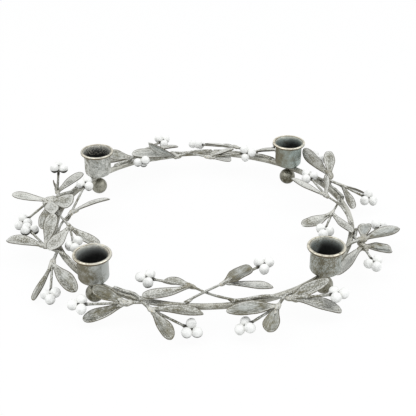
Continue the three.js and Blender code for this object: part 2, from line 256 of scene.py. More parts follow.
def arc(centre, radius, start, end, count):
    """Points (r, z) of a circle's arc from one angle in degrees to another."""
    angle = np.radians(np.linspace(start, end, count))
    return np.stack([centre[0] + radius * np.cos(angle), centre[1] + radius * np.sin(angle)], -1)


def turned(profile, bearing, columns):
    """A profile of (r, z) points spun round an upright axis on the ring's centreline."""
    a = np.linspace(0, 2 * np.pi, columns)[None, :]
    r = profile[:, :1]
    x = RING_RADIUS * np.cos(np.radians(bearing)) + r * np.cos(a)
    y = RING_RADIUS * np.sin(np.radians(bearing)) + r * np.sin(a)
    return np.stack([x, y, np.broadcast_to(profile[:, 1:], x.shape)], -1)


def cup_profile():
    """From under the floor, round the corner, up the wall, out under the lip, over its bead, and down the
    flare into the bore. Beside each point is what it is part of: 0 body, 1 under the lip, 2 the bead,
    3 the dip inside the bead, 4 the flare and bore."""
    top = CUP_BASE + CUP_HEIGHT
    floor = CUP_BASE + CUP_FLOOR
    inner = CUP_CORNER - (CUP_OUTSIDE - CUP_BORE)
    bead = (LIP_RADIUS - LIP_BEAD, top - LIP_BEAD)
    flare = np.linspace(0, 1, 12)[:, None]
    parts = [
        (0, [[0, CUP_BASE]]),
        (0, arc((CUP_OUTSIDE - CUP_CORNER, CUP_BASE + CUP_CORNER), CUP_CORNER, -90, 0, 12)),
        (0, np.linspace((CUP_OUTSIDE, CUP_BASE + WALL_FROM), (CUP_OUTSIDE, CUP_BASE + WALL_TO), 9)),
        (1, arc((CUP_OUTSIDE + LIP_FILLET, top - FILLET_DEPTH), LIP_FILLET, 180, 100, 5)),
        (1, arc(bead, LIP_BEAD, -115, 12, 9)),
        (2, arc(bead, LIP_BEAD, 24, 120, 11)),
        (3, [[LIP_RADIUS - inwards, top - down] for inwards, down in LIP_DIP]),
        (4, np.hstack([CUP_BORE + FLARE_WIDTH * (1 - flare) ** 2,
                       top - FLARE_FROM - (FLARE_TO - FLARE_FROM) * flare])),
        (4, np.linspace((CUP_BORE, top - BORE_FROM), (CUP_BORE, floor + inner), 7)),
        (4, arc((CUP_BORE - inner, floor + inner), inner, 0, -90, 8)),
        (4, [[0, floor]]),
    ]
    part = np.concatenate([np.full(len(points), kind) for kind, points in parts])
    return np.concatenate([points for _, points in parts]), part


def cup_zinc():
    """Zinc in clouds and swirls from olive to silver, with painted light and shade making one side paler and
    the other darker, frosted in places, with a few brown spots. The lip is rubbed pale, with a painted shadow
    in brown under it, brown patina in its dip and a painted highlight on the flare. The bore is painted
    darker towards its floor as painted shade, below a painted reflection, and has pale flecks near its mouth."""
    material, where = bare_material("cup_zinc")
    clouds = where.noise(where, 120, 3)
    swirls = where.noise(where, 330, 4)
    grit = where.noise(where, 1250, 3)
    mottle = clouds * 1.6 + swirls * 1.4 + grit * where.mark("grain") * 2.4
    tone = (where.mark("silver") + mottle).clip()
    spots = ((swirls - clouds * 0.6 - 0.13) * 7).clip() * 0.6
    frosted = (where.mark("frosted") * (0.4 + swirls * 3.4 + grit * 1.6 + clouds)).clip()
    silver = where.mark("green").blend(CUP_SILVER, CUP_GREEN)
    body = frosted.blend(spots.blend(tone.blend(CUP_OLIVE, silver), LIP_BROWN), CUP_FROST)
    # Rubbed cream on the bead, and a painted highlight on the flare's right side
    rubbed_and_lit = (where.mark("lip") * (0.72 + swirls * 2.2 + grit)).clip()
    # A painted shadow under the bead, and brown patina in the dip behind it
    brown_lines = (where.mark("brown_lines") * (0.72 + swirls * 2.4)).clip()
    bore = where.mark("bore")
    inside = where.mark("inside")
    flecks = ((grit * where.mark("flecked") - 0.1) * 14).clip()
    outside = brown_lines.blend(rubbed_and_lit.blend(body, LIP_CREAM), LIP_BROWN)
    bump = where.node("Bump", {}, {"Strength": 0.35, "Distance": 0.0003, "Height": grit + swirls * 0.6})
    shader = where.node("BsdfPrincipled", {}, {
        # Painted shade: the bore is darkened towards its floor, with pale flecks over it
        "Base Color": flecks.blend((bore + grit * inside * 0.4).clip().blend(outside, CUP_PAINTED_SHADE), LIP_CREAM),
        "Metallic": 0.92 - inside * 0.5 - frosted * 0.35,
        "Roughness": 0.36 + (1 - tone) * 0.16 + bore * 0.15 - rubbed_and_lit * 0.12,
        "Normal": bump,
    })
    where.node("OutputMaterial", {}, {"Surface": shader})
    return material


cup_finish = cup_zinc()
cup_points, cup_part = cup_profile()
for corner, row in CUPS.items():
    grid = turned(cup_points, row["bearing"], CUP_COLUMNS)
    over = np.ones(grid.shape[:2])
    part = cup_part[:, None] * over
    depth = (CUP_BASE + CUP_HEIGHT - grid[..., 2]) / CUP_HEIGHT
    a = np.linspace(0, 2 * np.pi, CUP_COLUMNS)[None, :]
    # The painted light and shade swing is strongest at the front and fades towards the back
    towards = np.cos(a - np.radians(row["painted_lit_side"])) * (0.6 - 0.4 * np.sin(a)) * over
    # Painted reflection: on one side the bore stays light further down
    painted_light_to = 0.02 + row["painted_bore_light"] * np.clip(np.cos(a - np.radians(row["painted_bore_light_side"])), 0, 1) ** 1.6
    flare = 0.4 + row["flare"] * np.clip(np.cos(a), 0, 1) ** 3
    marks = {
        # The wall's tone with its painted light and shade, and the bore wall's pale silver, darkened below by
        # painted shade
        "silver": [np.where(part == 4, 0.9, row["silver"] + row["painted_light_swing"] * towards)],
        "green": [row["green"] * over],
        "grain": [row["grain"] * over],
        # Cream where the lip is rubbed; on the flare's right side it is also a painted highlight
        "lip": [row["lip"] * ((part == 2) + flare * (part == 4) * (depth < 0.1))],
        # Brown under the bead is a painted shadow; in the dip it is brown patina
        "brown_lines": [1.15 * (part == 1) + 0.8 * (part == 3)],
        # Painted shade, darker with depth below the painted reflection
        "bore": [(part == 4) * np.clip((depth - painted_light_to) / 0.32, 0, 1) ** 0.6],
        "inside": [(part == 4) * over],
        "frosted": [(part < 2) * row["frosted"]],
        "flecked": [(part == 4) * (depth < 0.45) * row["flecked"]],
    }
    cup = skin(f"candle_cup_{corner}", [grid], cup_finish, marks)
    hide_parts(f"cup_{corner}")


# Ball feet: steel balls turned with a shank that goes up through ring and cup and is peened over inside.
# Each has a small worn flat where it stands and is smoother than the rest; it is painted dark olive
# underneath as painted shade and grey above as painted reflection.
BALL_RADIUS = 0.0073
BALL_CENTRE = 0.00699
BALL_FLAT = 0.0021
SHANK_RADIUS = 0.0012
RIVET_RADIUS = 0.0032
RIVET_RISE = 0.0016
BALL_COLUMNS = 49
# How much paler than usual each ball is
BALL_WORN = {"back_right": -0.24, "back_left": 0.3, "front_left": -0.14, "front_right": 0}
# Dark olive for the painted shade under each ball
BALL_UNDER_SHADE = (0.0675, 0.0612, 0.036, 1)
BALL_GREY = (0.333, 0.329, 0.275, 1)


def ball_profile():
    """From the flat under the ball, up its side to the shank, then the shank and its domed rivet head."""
    flat = np.degrees(np.arccos(BALL_FLAT / BALL_RADIUS))
    neck = np.degrees(np.arccos(SHANK_RADIUS / BALL_RADIUS))
    head = CUP_BASE + CUP_FLOOR
    dome = np.linspace(0, 1, 7)[1:, None]
    return np.concatenate([
        [[0, 0]],
        arc((0, BALL_CENTRE), BALL_RADIUS, -flat, neck, 30),
        [[SHANK_RADIUS, head], [RIVET_RADIUS, head]],
        np.hstack([RIVET_RADIUS * np.sqrt(1 - dome ** 2), head + RIVET_RISE * dome]),
    ])


def ball_zinc():
    """Smooth zinc, painted dark olive below as painted shade and grey above as painted reflection, mottled
    and scratched through in specks.
    """
    material, where = bare_material("ball_zinc")
    clouds = where.noise(where, 230, 3)
    specks = where.noise(where, 950, 3)
    # Painted shade and reflection: darker where the ball faces down, paler where it faces up, with mottling
    # and specks
    wear_and_light = (where.facing_up() * 0.45 + clouds * 2.2 + specks * 1.9 + where.mark("wear_and_light") + 0.45).clip()
    bump = where.node("Bump", {}, {"Strength": 0.25, "Distance": 0.0003, "Height": specks + clouds})
    shader = where.node("BsdfPrincipled", {}, {
        "Base Color": wear_and_light.blend(BALL_UNDER_SHADE, BALL_GREY),
        "Metallic": 0.92 - wear_and_light * 0.1,
        "Roughness": 0.3 + wear_and_light * 0.1 + specks * 0.3,
        "Normal": bump,
    })
    where.node("OutputMaterial", {}, {"Surface": shader})
    return material


ball_finish = ball_zinc()
for corner, row in CUPS.items():
    grid = turned(ball_profile(), row["bearing"], BALL_COLUMNS)
    wear_and_light = [np.full(grid.shape[:2], BALL_WORN[corner])]
    foot = skin(f"ball_foot_with_rivet_{corner}", [grid], ball_finish, {"wear_and_light": wear_and_light})
    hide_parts(f"ball_foot_{corner}")


# Sprigs: a wire stem brazed along the ring, with pressed sheet leaves and a thinner berry wire brazed to
# its end in a lump of solder. The leaves are hollow on top with a raised edge, and all is frosted silver.
STEM_RADIUS = {"side": 0.0013, "top": 0.0013, "under": 0.00095, "over": 0.00095}
# In millimetres outside and above the ring's centreline, where stems lie on the ring, and how high they cross
SIDE_LAY = (3.5, 1.3)
TOP_LAY = (0, 3.7)
INNER_LAY = (0, 3.4)
TOP_CROSSING = 4.5
INNER_CROSSING = {"over": 6.1, "under": 3.6}
BERRY_WIRE = 0.001
# The dark end of a berry wire: how far its middle is from that of the berries, half its length, its swelling
COLLAR_FROM = 0.0052
COLLAR_HALF = 0.0018
COLLAR_SWELL = 0.3
# Half the length and the radius of each lump: at the node, under the stem's cut end, among the berries and
# at the foot of a leaf, which lies a little way along it
KNOT = (0.0052, 0.0019)
BRAZE = (0.0045, 0.0014)
CORE = (0.0021, 0.0017)
CROTCH = (0.0042, 0.0015)
CROTCH_ALONG = 0.0035
# A leaf's half-width at its stalk, the half-width at which it opens and over how much more, half its sheet's
# thickness at the stalk and how much that thins, how steep its hollow is, the width of its edge, where its
# raised rim is and how wide, the heights of rim, groove and dints, and how far in its painted sheen begins
LEAF_STALK = 0.0016
LEAF_OPENS = 0.0017
LEAF_OPENS_OVER = 0.0015
LEAF_SHEET = 0.00105
LEAF_THINS = 0.0005
LEAF_HOLLOW = 0.32
LEAF_EDGE = 0.00056
RIM_FROM_EDGE = 0.0013
RIM_WIDTH = 0.0005
RIM_HEIGHT = 0.0003
GROOVE_DEPTH = 0.00035
DINT_HEIGHT = 0.00016
SHEEN_FROM_EDGE = 0.0024
# How blunt a leaf is and at what share of its length it is widest, where its row doesn't say
LEAF_SHAPE = [0, 0.66]
# By sprig, where it isn't as usual: how high a top stem crosses, how dull a stem is, which is partly painted
# shade, how smooth the leaves are, which also sets how much painted sheen their hollows get, and how big and
# how tan the solder is
CROSSING = {"front_6": 3.4}
STEM_DULL_AND_SHADE = {"side": 0.1, "top": 0.1, "under": 0.2, "over": 0.1, "front_3": 1.1, "front_4": 0.55}
USUAL_SMOOTH = 0.35
SMOOTH = {
    "front_1": 0.4, "front_2": 0.05, "front_3": 0.3, "front_4": 0.7, "front_5": 0.8, "front_6": 0.2,
    "right_1": 1, "right_2": 1, "right_5": 0, "back_4": 0.8, "left_2": 0.5, "left_4": 0.1, "left_5": 0.1,
}
BIG_KNOTS = {"front_1": 1.3, "right_1": 1.7, "right_2": 1.5, "right_6": 1.5, "left_2": 2.0, "left_6": 1.2}
TAN_KNOTS = {"front_3": 0.8, "front_6": 0.3, "right_1": 0.5, "right_2": 0.45, "right_6": 0.6, "left_1": 0.4}
SPRIG_OLIVE = (0.153, 0.142, 0.0972, 1)
SPRIG_SILVER = (0.324, 0.331, 0.306, 1)
# Cooler silver for the painted sheen in the leaves' hollows
SPRIG_SHEEN = (0.45, 0.477, 0.464, 1)
SPRIG_FROST = (0.666, 0.666, 0.625, 1)
SPRIG_BROWN = (0.0765, 0.063, 0.0342, 1)
SPRIG_SHADE = (0.108, 0.11, 0.099, 1)
SPRIG_BARE = (0.036, 0.0333, 0.0252, 1)
SPRIG_BRASS = (0.504, 0.441, 0.297, 1)
SPRIG_TAN = (0.252, 0.23, 0.162, 1)
# Each row is how the stem lies, the bearing of its cut end, its node, its berries and its leaves, in degrees
# and in millimetres outside and above the ring's centreline. Berries are their middle and the tilt of their
# triangle. A leaf is its tip, width, roll, arch and dullness, which is partly painted shade, and where needed
# how blunt and where widest.
SPRIGS = {
    "front": [
        ("side", 257, (240, 8, 0), (228, 27, -1, -30),
         [(227.5, 10.5, 4.2, 10.5, -34, -0.03, 1.05), (230, 29, -11.5, 10.5, -27, -0.06, 0.2)]),
        ("top", 233, (249.5, 14, 4), (262, 18.5, -7, 30),
         [(257, 31, -7.5, 11.5, -2, 0.03, 0.9), (265.5, 10, 0.5, 11.5, 4, 0.03, 0.7, -0.8)]),
        ("under", 277, (260.3, -19.3, 4.5), (242, -16.5, 8, -20),
         [(247, -25.8, 1, 8.8, -9, 0.06, 0.35, -0.8), (245.5, 6.5, 8, 11.5, -4, -0.05, 0.2)]),
        ("over", 259, (274, -22, 5), (294, -28, 10.5, 20),
         [(287.6, -26.8, 11.2, 11.5, 11, 0, 1.3, 1, 0.4), (292.5, -9, 1.5, 10.5, -3, -0.01, -0.35, -0.8)]),
        ("side", 305, (288, 16, 4), (277.5, 18.5, -6.5, 0),
         [(282.5, 31.5, -4.5, 12, -11, -0.02, 1.3), (272.5, 9, 1.5, 12.5, -19, 0, 0.55, 0, 0.48)]),
        ("top", 275.5, (294.5, 7, 0), (307, 26, 2.5, 0),
         [(309.6, 11.4, 5, 10, 30, 0.01, 0.2, 0, 0.42), (306.7, 31.5, -10.6, 12.5, 10, 0.04, -0.2)]),
    ],
    "right": [
        ("side", 347, (338, 11, -1.2), (330, 25, -2.5, 20),
         [(322.5, 1, -11, 12, 6, 0.01, -0.9), (342.5, 34, -9, 11, 12, -0.02, 0.65, 0.9, 0.55)]),
        ("top", 326, (339.5, 10, 3), (351, 24, -1, 30),
         [(349.5, 11.5, 3.5, 11.5, -10, -0.03, 0.4), (349.6, 39.5, 1, 14, -1, -0.03, 0.4, -0.4)]),
        ("under", 11, (358, -15, 3), (342, -22, 2.5, -10),
         [(346, -41, 1.5, 13, -7, -0.07, 0), (340.5, 0.5, 6.5, 11, -11, -0.03, -0.3)]),
        ("over", 349.5, (12, -12.5, 5), (28, -12, 9, -10),
         [(30.5, -28.5, 9.5, 11, 12, -0.04, -0.75), (23.5, 1, 10.5, 8.5, 52, -0.04, -0.6)]),
        ("top", 36, (18, 10, 4), (11, 28, -3.5, 20),
         [(5.2, 6.8, -3, 11, -26, 0.02, 0.6), (15, 31, -5.5, 8.5, -22, 0.02, 0.3)]),
        ("side", 11.5, (27.8, 13, 2.5), (39, 22.5, 7, 30),
         [(42.5, 13.5, 17, 12, 160, 0.03, -0.8), (36, 30, 14, 10.5, -5, -0.02, 0.05)]),
    ],
    "back": [
        ("side", 81, (65.5, 8, 0), (56, 26, 4, 30),
         [(55, 13.5, 5.5, 11, -11, 0.03, -0.2), (54.5, 10, -2.5, 8.5, -30, 0.02, -1.4)]),
        ("top", 55, (72, 9, 4), (88, 17.5, 1, 30),
         [(79, 31.5, -6, 11.5, 8, -0.05, 0.1), (85, 16, 2, 11, 20, -0.02, -1.6)]),
        ("under", 100, (83, -14, 3), (64.5, -9, 8.5, 70),
         [(71.5, -15.5, 1.5, 11.5, 5, 0.01, -1.5), (71.5, -4, 8.5, 10, -12, -0.02, -0.6)]),
        ("over", 82, (98, -14, 5), (116.5, -13.5, 6, 45),
         [(111.5, -7, 21, 11.5, -123, 0.04, -1.5, -0.8), (119, -2.5, 10.5, 12, -19, 0.02, -0.55)]),
        ("top", 127, (112, 9, 4), (101, 25, 4, 30),
         [(103.5, 33.5, -4.5, 12, -31, -0.01, 0.1), (96, 9.5, 3.5, 10, -11, 0, -0.15)]),
        ("side", 101, (116, 9, 0), (126, 27, 3, 30),
         [(125.5, 16, 7, 12, -31, -0.01, 0.1), (123.5, 34, -10.5, 12, 4, -0.02, 0.2)]),
    ],
    "left": [
        ("side", 175, (156.5, 13, 2), (155, 11.4, 25, 55),
         [(144.5, 2.5, 10, 9.5, 10, 0.01, -0.3), (152, 22.6, 4, 10, 65, -0.02, -0.6)]),
        ("top", 146, (164.5, 12, 3.5), (171.5, 31.5, -9, -10),
         [(164, 47, 5.5, 8.5, -20, -0.02, -0.4), (174.9, 12.6, -10.5, 12.5, 14, -0.04, 0.25),
          (168.3, -12, 8.8, 14.5, 32, -0.01, -0.6, 1, 0.8), (176.3, 2.6, 6.5, 12, 0, 0.02, -0.7)]),
        ("under", 191, (171.5, -11, 2), (153.5, -12.5, 12, 10),
         [(155.5, -37.5, 3, 10, -15, 0.03, -0.45), (175.5, -9, -1.5, 9.5, 41, -0.01, -0.1)]),
        ("over", 173, (185.5, -12, 5), (199, -11, 3.5, 30),
         [(200.5, -31, -1, 11.5, -2, -0.05, 0.2), (202, 11.5, 8.5, 11.5, -20, -0.03, -0.55)]),
        ("top", 214, (196, 11, 3.5), (182, 22, 0.5, 10),
         [(185.5, 39.5, -2, 12.5, -6, 0.01, 0), (179.2, 1.5, 10.5, 11.5, 3, -0.04, 0.35)]),
        ("side", 192, (203, 10.5, -3), (216, 28.5, -7.5, 10),
         [(212.5, 38, -13.5, 11, 37, -0.02, 0.5), (217.5, 8, -12, 12.5, 19, -0.01, 0.15)]),
    ],
}


def place(bearing, out, up):
    """A bearing in degrees and millimetres outside and above the ring's centreline, as a point."""
    reach = RING_RADIUS + out / 1000
    a = np.radians(bearing)
    return np.array([reach * np.cos(a), reach * np.sin(a), RING_HEIGHT + up / 1000])


def unit(v):
    """A vector divided by its length."""
    return v / np.linalg.norm(v, axis=-1, keepdims=True)


def turn_about(axis, v, degrees):
    """A vector square to an axis, turned about it."""
    a = np.radians(degrees)
    return v * np.cos(a) + np.cross(axis, v) * np.sin(a)


def bent(points, count):
    """A smooth line through points: between each pair, the cubic whose slope at a point is half the
    step from the point before it to the one after."""
    points = np.array(points)
    p = np.vstack([2 * points[0] - points[1], points, 2 * points[-1] - points[-2]])
    t = np.linspace(0, len(points) - 1, count)
    i = np.minimum(t.astype(int), len(points) - 2)
    w = (t - i)[:, None]
    a, b, c, d = p[i], p[i + 1], p[i + 2], p[i + 3]
    return b + w * ((c - a) / 2 + w * (a - 2.5 * b + 2 * c - d / 2 + w * (1.5 * (b - c) + (d - a) / 2)))


def wire(path, radius, seed, columns=13):
    """A round wire: circles square to its path, a little uneven, with a flat cut face at each end. The
    radius is one number or one for each point of the path."""
    along = unit(np.gradient(path, axis=0))
    side = unit(np.cross(along, np.eye(3)[np.argmin(np.abs(path[-1] - path[0]))]))
    up = np.cross(side, along)
    v = np.linspace(0, 2 * np.pi, columns)[None, :, None]
    s = np.linspace(0, 1, len(path))[:, None, None]
    r = np.broadcast_to(radius, len(path))[:, None, None]
    r = r * (1 + 0.05 * np.sin(23 * s + 2 * v + seed) + 0.04 * np.sin(9 * s + 3 * seed))
    body = path[:, None] + r * (np.cos(v) * side[:, None] + np.sin(v) * up[:, None])
    ends = [np.broadcast_to(path[k], (1, columns, 3)) for k in (0, -1)]
    return np.concatenate([ends[0], body, ends[1]])


def across(axis):
    """A direction square to an axis, from a slanting line that no wire or leaf follows."""
    return unit(np.cross(axis, (0.21, 0.35, 0.91)))


def lump(centre, axis, length, radius, seed, rows=17, columns=25):
    """A lump of solder: an ellipsoid along an axis, swollen and hollowed a little by slow waves."""
    side = across(axis)
    up = np.cross(side, axis)
    u = np.linspace(0, np.pi, rows)[:, None, None]
    v = np.linspace(0, 2 * np.pi, columns)[None, :, None]
    swell = 1 + np.sin(u) * (0.16 * np.sin(2 * v + seed) + 0.12 * np.sin(3 * v - 2 * seed + 5 * u))
    r = radius * swell * np.sin(u)
    return centre + axis * length * np.cos(u) + r * (side * np.cos(v) + up * np.sin(v))


def run_of(grid, start, along, seed):
    """Where each point lies along and across a straight line, shifted so that no two parts match."""
    side = across(along)
    frame_of_part = np.stack([along, side, np.cross(side, along)], -1)
    return (grid - start) @ frame_of_part + 0.37 * seed


def leaf(node, tip, width, roll, arch, blunt, widest, seed, rows=46, columns=49):
    """A pressed leaf as a closed sheet. At share s of its run its half-width h swells from the stalk to where
    it is widest, and closes in a tip that is round, or blunter, or more pointed where blunt is below 0.
    Round the sheet by angle v, the point lies h cos(v) across. Its height is a hollow that rises to both
    edges, half the sheet's thickness above or below, the arch of the whole leaf, and on top a raised rim, a
    groove along the middle and slow dints. Marks are measured by how far in from the outline a point lies."""
    run = tip - node
    length = np.linalg.norm(run)
    along = run / length
    right = turn_about(along, unit(np.cross(along, (0, 0, 1))), roll)
    face = np.cross(right, along)
    s = np.sin(np.linspace(0, np.pi / 2, rows))[:, None]
    v = np.linspace(0, 2 * np.pi, columns)[None, :]
    widest = widest + 0.05 * np.sin(seed)
    swell = np.clip(s / widest, 0, 1)
    past = np.clip((s - widest) / (1 - widest), 0, 1)
    h = LEAF_STALK + (width / 2 - LEAF_STALK) * swell ** 2 * (3 - 2 * swell)
    h = h * (1 - past ** (2.2 + 3 * max(blunt, 0))) ** (0.5 - 0.35 * min(blunt, 0))
    sheet = (LEAF_SHEET - LEAF_THINS * np.clip(s / 0.3, 0, 1)) * np.sqrt(np.clip((1 - s) / 0.03, 0, 1))
    c = np.cos(v)
    top = np.sign(np.sin(v)) * np.abs(np.sin(v)) ** 0.4
    upper = np.clip(np.sin(v) * 3, 0, 1)
    opened = np.clip((h - LEAF_OPENS) / LEAF_OPENS_OVER, 0, 1)
    inset = np.minimum(h * (1 - np.abs(c)), (1 - s) * length * 0.8)
    edge = np.exp(-(inset / LEAF_EDGE) ** 2) * opened
    rim = np.exp(-((inset - RIM_FROM_EDGE) / RIM_WIDTH) ** 2) * upper * opened
    groove = np.exp(-(c / 0.16) ** 2) * upper * opened * np.clip((1 - s) / 0.2, 0, 1)
    dint = np.sin(7 * s + 2 * c + seed) * np.sin(5 * s - 3 * c + 2 * seed) * opened
    uneven = 1 + 0.035 * np.sin(11 * s + 4 * seed + np.sign(c)) * opened
    height = (LEAF_HOLLOW * h * np.abs(c) ** 1.7 + sheet * top + arch * length * 4 * s * (1 - s)
              + RIM_HEIGHT * rim - GROOVE_DEPTH * groove + DINT_HEIGHT * dint)
    grid = node + run * s[..., None] + right * (h * c * uneven)[..., None] + face * height[..., None]
    # Where the painted sheen may lie: in from the outline on the top side
    hollow = (1 - np.exp(-(inset / SHEEN_FROM_EDGE) ** 2)) * upper * opened
    # The underside, which the material paints in shade
    under = np.clip(-np.sin(v) * 3, 0, 1) * np.ones_like(s) * opened
    return grid, along, {"edge": edge, "rim": rim, "hollow": hollow, "groove": groove, "under": under}


def sprig_zinc():
    """Silver-frosted zinc: olive to silver in clouds and lengthwise streaks, a painted sheen of cooler silver
    in the leaves' hollows, and thick with pale grains on raised edges, with a painted highlight wherever it
    faces up.
    Brown stays along the leaves' outlines, the undersides are painted in shade, each leaf and stem is
    darkened by its own dullness, partly painted shade, the solder is frosted with specks of brass, and the
    berry wires are bare at their ends."""
    material, where = bare_material("sprig_zinc")
    streaks = where.noise(where.drawn(0.2), 1300, 3)
    clouds = where.noise(where, 85, 3)
    speck = where.noise(where, 980, 2)
    grit = where.noise(where, 2100, 2)
    groove = where.mark("groove")
    knot = where.mark("knot")
    under = where.mark("under")
    # Dullness of each leaf and stem, partly painted shade: it darkens the part and sets how shaded its
    # underside is
    dull = where.mark("dull")
    tone = (clouds * 2.4 + streaks * 2.0 + 0.5 - groove * 0.25).clip()
    smooth = where.mark("smooth")
    # Painted sheen: a lighter, cooler silver in the hollows of smooth leaves
    painted_sheen = (where.mark("hollow") * smooth * (0.7 + clouds * 3 + streaks - dull * 0.45)).clip()
    # Frost grains, with a painted highlight where the surface faces up and painted shade on the undersides
    frost_and_top_light = ((where.facing_up() * 0.6 + speck * (3.6 - smooth * 2.4) + grit * 1.4 + streaks * 1.4
              + clouds * 1.4 + where.mark("rim") * 0.45 + knot * 0.3 - groove * 0.2 - under * 0.6
              - painted_sheen * 0.25 - dull * 0.55 - 0.16) * 1.2).clip()
    silvered = frost_and_top_light.blend(painted_sheen.blend(tone.blend(SPRIG_OLIVE, SPRIG_SILVER), SPRIG_SHEEN), SPRIG_FROST)
    brassy = (knot * (clouds * 4 + speck * 6 - 0.5)).clip().blend(silvered, SPRIG_BRASS)
    tanned = (where.mark("tan") * (0.75 + clouds * 4 + speck * 4)).clip().blend(brassy, SPRIG_TAN)
    shaded = (under * (0.45 + dull * 0.35 + speck)).clip().blend(tanned, SPRIG_SHADE)
    brown_lines = (where.mark("edge") * (0.92 + speck * 2.2 + clouds * 2)).clip().blend(shaded, SPRIG_BROWN)
    grain = speck + grit * 0.6 + streaks * 0.6
    bump = where.node("Bump", {}, {"Strength": 0.6, "Distance": 0.0004, "Height": grain})
    shader = where.node("BsdfPrincipled", {}, {
        "Base Color": where.mark("bare").blend(brown_lines, SPRIG_BARE),
        "Metallic": 0.88 - frost_and_top_light * 0.5,
        "Roughness": 0.42 + frost_and_top_light * 0.2 - painted_sheen * 0.06,
        "Normal": bump,
    })
    where.node("OutputMaterial", {}, {"Surface": shader})
    return material


def stem_path(lay, tail, node, crossing):
    """The line of a stem from its cut end to its node. Side stems lie against the outside of the ring and
    top stems on it, crossing over the first; inner stems start on top of the ring and cross inside it."""
    way = (node[0] - tail + 540) % 360 - 180
    if lay == "side":
        held = [place(tail + way * share, *SIDE_LAY) for share in (0, 0.22, 0.44, 0.66)]
    elif lay == "top":
        held = [place(tail + way * share, *TOP_LAY) for share in (0, 0.25, 0.5)]
        held.append(place(tail + way * 0.75, node[1] / 2, crossing))
    else:
        held = [place(tail, *INNER_LAY), place(tail + way / 2, node[1] / 2, INNER_CROSSING[lay])]
    return bent(held + [place(*node)], 40)


sprig_finish = sprig_zinc()
for side, rows in SPRIGS.items():
    for number, (lay, tail, node, berries, leaves) in enumerate(rows, 1):
        name = f"{side}_{number}"
        seed = 1.7 * number + len(side)
        root = place(*node)
        path = stem_path(lay, tail, node, CROSSING.get(name, TOP_CROSSING))
        stem_way = unit(path[-1] - path[0])
        outward = unit(path[-1] - path[-3])
        brazed_at = path[3] - (0, 0, STEM_RADIUS[lay] * 0.8)
        middle = place(*berries[:3])
        berry_way = unit(middle - root)
        berry_path = np.linspace(root, middle, 40)
        short_of = np.linalg.norm(middle - berry_path, axis=1)
        collar = np.exp(-((short_of - COLLAR_FROM) / COLLAR_HALF) ** 4)
        bare = np.concatenate([[collar[0]], collar, [1]])[:, None]
        stem_grid = wire(path, STEM_RADIUS[lay], seed)
        wire_grid = wire(berry_path, BERRY_WIRE * (1 + COLLAR_SWELL * collar), seed)
        knot = BIG_KNOTS.get(name, 1)
        knot_grid = lump(root, outward, KNOT[0] * np.sqrt(knot), KNOT[1] * knot, seed)
        braze_grid = lump(brazed_at, unit(path[6] - path[0]), *BRAZE, seed + 2)
        core_grid = lump(middle, berry_way, *CORE, seed + 1)
        solder = {"knot": 1, "tan": TAN_KNOTS.get(name, 0)}
        # Each part is its grid, the start and direction of its run, and its marks
        parts = [
            (stem_grid, path[0], stem_way, {"dull": STEM_DULL_AND_SHADE.get(name, STEM_DULL_AND_SHADE[lay])}),
            (wire_grid, root, berry_way, {"bare": bare, "dull": 0.15}),
            (knot_grid, root, outward, solder),
            (braze_grid, path[0], stem_way, {"knot": 1}),
            (core_grid, root, outward, {"bare": 1}),
        ]
        for k, (bearing, out, up, width, roll, arch, dull, *shape) in enumerate(leaves):
            blunt, widest = shape + LEAF_SHAPE[len(shape):]
            grid, along, marks = leaf(root, place(bearing, out, up), width / 1000, roll, arch, blunt, widest,
                                      seed + 2.3 * k)
            marks.update(dull=dull, smooth=SMOOTH.get(name, USUAL_SMOOTH))
            crotch = lump(root + along * CROTCH_ALONG, along, CROTCH[0], CROTCH[1] * np.sqrt(knot), seed + k)
            parts += [(grid, root, along, marks), (crotch, root, along, solder)]
        grids = [grid for grid, _, _, _ in parts]
        marks = {
            mark: [given.get(mark, 0) + np.zeros(grid.shape[:2]) for grid, _, _, given in parts]
            for mark in ("edge", "rim", "hollow", "groove", "under", "knot", "tan", "bare", "dull", "smooth")
        }
        way = [run_of(grid, start, along, seed + k) for k, (grid, start, along, _) in enumerate(parts)]
        sprig = skin(f"mistletoe_sprig_{name}", grids, sprig_finish, marks, way)
        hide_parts(f"sprig_{name}")


# Berries: three white-lacquered balls in a triangle on the end of each berry wire, in line with it or, on
# the upright one, square to it. The lacquer is sprayed from above, so the metal stays dark underneath.
BERRY_RADIUS = 0.00405
BERRY_REACH = 0.0044
# By sprig, where it isn't as usual: clusters that stand square to their wire, the height on each ball, from
# -1 to 1, below which it is bare, and how thin the lacquer is
CROWNS = ("left_1",)
USUAL_BARE = -0.55
BARE_BELOW = {"left_1": -0.12, "left_5": -0.08, "front_2": -0.35, "front_3": -0.42, "back_4": -0.4,
              "back_2": -0.8, "back_3": -0.75, "right_2": -0.8}
BERRY_THIN = {"right_5": 0.35, "left_2": 0.18, "left_4": 0.35, "right_4": 0.12, "front_3": 0.12}
BERRY_SHADE = (0.6, 0.6, 0.57, 1)
BERRY_WHITE = (0.92, 0.917, 0.885, 1)
BERRY_BARE = (0.03, 0.029, 0.02, 1)


def berry(centre, seed, rows=19, columns=29):
    """A ball whose radius varies by a few hundredths, as a thickly lacquered ball's does, and how far each of
    its points faces up."""
    u = np.linspace(0, np.pi, rows)[:, None]
    v = np.linspace(0, 2 * np.pi, columns)[None, :]
    r = BERRY_RADIUS * (1 + 0.03 * np.sin(u) * np.sin(2 * v + seed) + 0.03 * np.sin(3 * u + seed))
    outward = np.stack([np.sin(u) * np.cos(v), np.sin(u) * np.sin(v), np.cos(u) * np.ones_like(v)], -1)
    return centre + r[..., None] * outward, outward[..., 2]


